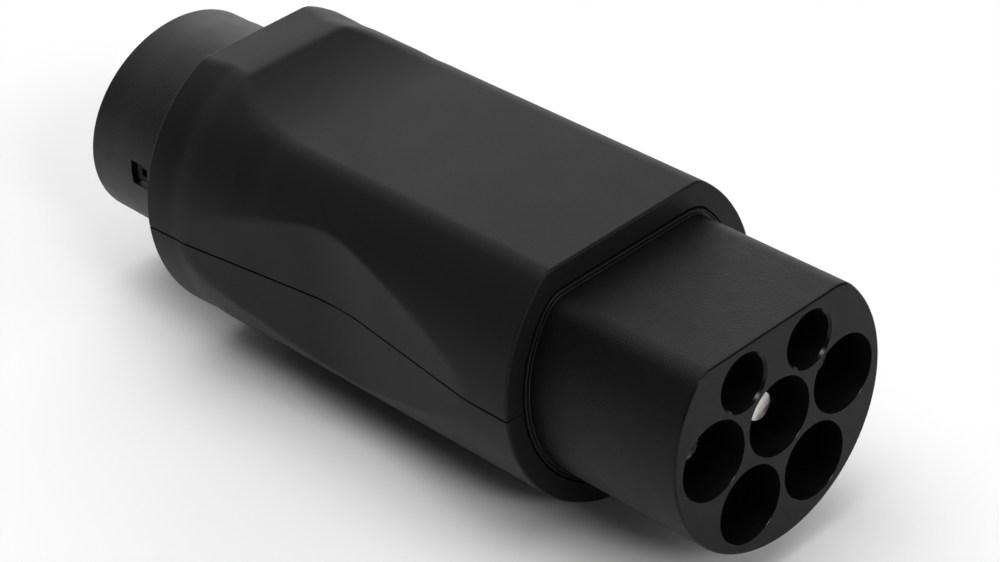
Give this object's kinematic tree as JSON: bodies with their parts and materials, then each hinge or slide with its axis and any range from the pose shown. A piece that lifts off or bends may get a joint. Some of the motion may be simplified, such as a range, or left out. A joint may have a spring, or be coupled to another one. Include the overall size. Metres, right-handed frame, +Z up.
{
  "type": "ev charging adapter",
  "caption": "Black charging adapter: a D-shaped plug nose with round contact ways, a two-shell grip housing with side scoops and a round collar inlet.",
  "frame": {"origin": "on the axis of the earth way, in the plane of the plug's face", "axes": "+X points out of the plug's face, +Z up, the flat side of the D on top"},
  "size_m": [0.1815, 0.068, 0.0655],
  "materials": {
    "housing": "soft-touch matt black, fine grain",
    "insulator": "black glass-filled nylon, moulded with a matt grain",
    "seal": "matt black rubber",
    "contact": "silver-plated, turned",
    "screw": "zinc-plated",
    "board": "lacquered circuit board",
    "resistor": "lacquered film resistor",
    "wire_earth": "wire insulation",
    "wire_line": "wire insulation",
    "wire_neutral": "wire insulation",
    "wire_pilot": "wire insulation"
  },
  "bodies": {
    "root": {"upper_housing": "housing", "lower_housing": "housing", "plug_body": "insulator", "nose_seal": "seal", "pin_retainer": "insulator", "retainer_screws": "screw", "inlet_collar": "insulator", "collar_seal": "seal", "inlet_core": "insulator", "core_retainer": "insulator", "core_screws": "screw", "coding_board": "board", "coding_resistor": "resistor", "housing_screws": "screw", "earth_pin": "contact", "inlet_earth_pin": "contact", "line_pin": "contact", "inlet_line_pin": "contact", "neutral_pin": "contact", "inlet_neutral_pin": "contact", "pilot_pin": "contact", "inlet_pilot_pin": "contact", "proximity_pin": "contact", "inlet_proximity_pin": "contact", "earth_wire": "wire_earth", "line_wire": "wire_line", "neutral_wire": "wire_neutral", "pilot_wire": "wire_pilot", "proximity_wire": "wire_pilot"}
  },
  "joints": []
}
